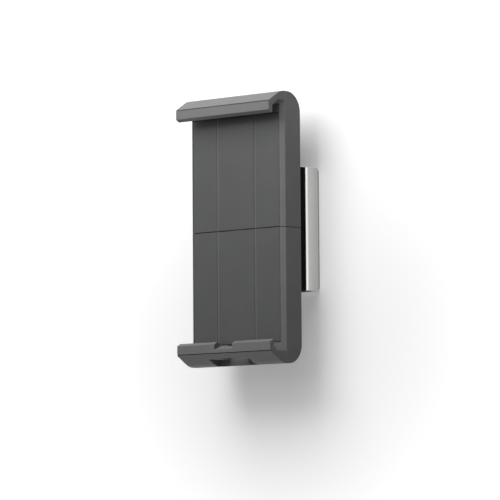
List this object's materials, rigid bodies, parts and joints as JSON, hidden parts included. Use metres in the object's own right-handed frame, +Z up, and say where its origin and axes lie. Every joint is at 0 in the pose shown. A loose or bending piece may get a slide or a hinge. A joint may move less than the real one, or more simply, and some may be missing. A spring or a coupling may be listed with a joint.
{
  "type": "tablet wall mount",
  "caption": "Wall-mounted tablet holder: sprung hooked jaws grip the upper and lower edges, a cable notch runs through the lower lip, and the holder swivels on a channel bracket.",
  "frame": {"origin": "centre of the wall plate's back face, on the swivel axis", "axes": "+X to the right seen from the front, +Y back to the wall, +Z up along the closed jaws"},
  "size_m": [0.0864, 0.0538, 0.1896],
  "materials": {
    "jaw_plastic": "fine-grained satin",
    "pad_rubber": "smooth matte",
    "inner_plastic": "plain moulded",
    "gear_plastic": "smooth, self-coloured",
    "block_plastic": "fine-grained matte",
    "bearing_plastic": "smooth, waxy",
    "channel_aluminium": "brushed upright",
    "plate_steel": "brushed upright",
    "screw_steel": "zinc plated",
    "spring_steel": "drawn wire",
    "insert_brass": "turned"
  },
  "bodies": {
    "wall_base": {"wall_plate": "plate_steel", "bracket_channel": "channel_aluminium", "pivot_block": "block_plastic", "block_screws": "screw_steel", "threaded_insert": "insert_brass", "pivot_bolt": "screw_steel", "pivot_washer": "screw_steel", "friction_ring": "bearing_plastic"},
    "carrier": {"slide_carrier": "inner_plastic", "carrier_cover": "inner_plastic", "carrier_cover_screws": "screw_steel", "swivel_hub": "inner_plastic", "hub_screws": "screw_steel", "disc_spring": "spring_steel", "upper_spring_left": "spring_steel", "upper_spring_right": "spring_steel", "lower_spring_left": "spring_steel", "lower_spring_right": "spring_steel"},
    "upper_jaw": {"upper_jaw": "jaw_plastic", "upper_front_pad": "pad_rubber", "upper_back_cover": "jaw_plastic", "upper_cover_screws": "screw_steel", "upper_rack": "gear_plastic", "upper_rack_screws": "screw_steel"},
    "lower_jaw": {"lower_jaw": "jaw_plastic", "lower_front_pad": "pad_rubber", "lower_back_cover": "jaw_plastic", "lower_cover_screws": "screw_steel", "lower_rack": "gear_plastic", "lower_rack_screws": "screw_steel"},
    "pinion": {"pinion": "gear_plastic"}
  },
  "joints": [
    {"name": "holder_swivel", "type": "hinge", "parent": "wall_base", "child": "carrier", "pos_m": [0, -0.02, 0], "axis": [0, 1, 0], "continuous": true},
    {"name": "upper_jaw_slide", "type": "slide", "parent": "carrier", "child": "upper_jaw", "axis": [0, 0, 1], "range_m": [0, 0.04], "stiffness_N_per_m": 120, "springref_m": -0.025, "deforming": ["upper_spring_left", "upper_spring_right"]},
    {"name": "lower_jaw_slide", "type": "slide", "parent": "carrier", "child": "lower_jaw", "axis": [0, 0, -1], "range_m": [0, 0.04], "stiffness_N_per_m": 120, "springref_m": -0.025, "deforming": ["lower_spring_left", "lower_spring_right"]},
    {"name": "pinion_spin", "type": "hinge", "parent": "carrier", "child": "pinion", "pos_m": [0, -0.03055, 0], "axis": [0, 1, 0], "range_deg": [-3, 173]}
  ],
  "couplings": [
    {"joint": "lower_jaw_slide", "follows": "upper_jaw_slide", "ratio": 1},
    {"joint": "pinion_spin", "follows": "upper_jaw_slide", "rad_per_m": 74.074}
  ]
}
